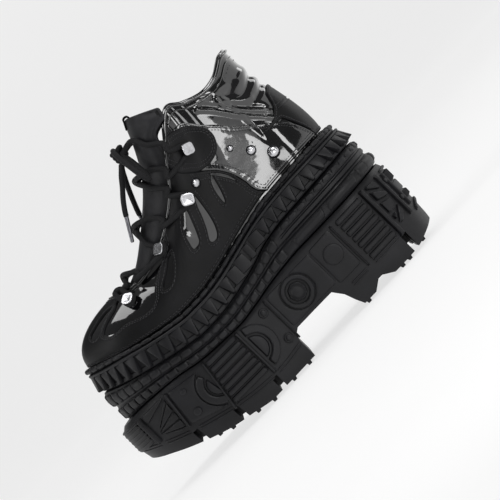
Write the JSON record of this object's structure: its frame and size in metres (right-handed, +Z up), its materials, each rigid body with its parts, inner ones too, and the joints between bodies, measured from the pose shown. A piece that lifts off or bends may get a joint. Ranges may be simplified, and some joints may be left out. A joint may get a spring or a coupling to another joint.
{
  "type": "platform boot",
  "caption": "Left platform ankle boot with a lugged block sole, a toothed rand, a hollow leather upper, a padded tongue and laces run behind steel hooks.",
  "frame": {"origin": "centre of the object's footprint on the floor, under the middle of its length and width", "axes": "+X towards the toe, +Y towards the outer (lateral) side of this left shoe, +Z up"},
  "size_m": [0.2975, 0.1338, 0.2413],
  "materials": {
    "rubber": "moulded black rubber, satin",
    "welt": "moulded segmented strip, satin",
    "leather": "black leather, matte overlays on glossy patent panels",
    "tongue": "padded matte black leather with a bound edge",
    "lining": "black textile lining",
    "webbing": "woven black tape",
    "lace": "round braided black cord",
    "steel": "polished nickel plate",
    "aglet": "brushed metal tip"
  },
  "bodies": {
    "root": {"outsole": "rubber", "midsole": "rubber", "rand": "rubber", "welt": "welt", "insole": "lining", "upper": "leather", "heel_counter": "leather", "tongue": "tongue", "pull_loop": "webbing", "lace_hook_lateral_1": "steel", "lace_hook_lateral_2": "steel", "lace_hook_lateral_3": "steel", "lace_hook_lateral_4": "steel", "rivet_lateral_1": "steel", "rivet_lateral_2": "steel", "rivet_lateral_3": "steel", "rivet_lateral_4": "steel", "lace_hook_medial_1": "steel", "lace_hook_medial_2": "steel", "lace_hook_medial_3": "steel", "lace_hook_medial_4": "steel", "rivet_medial_1": "steel", "rivet_medial_2": "steel", "rivet_medial_3": "steel", "rivet_medial_4": "steel", "lace_cross_1": "lace", "lace_cross_2": "lace", "lace_cross_3": "lace", "lace_top": "lace", "lace_knot": "lace", "lace_loop_lateral": "lace", "lace_loop_medial": "lace", "lace_end_lateral": "lace", "lace_end_medial": "lace", "aglet_lateral": "aglet", "aglet_medial": "aglet"}
  },
  "joints": []
}
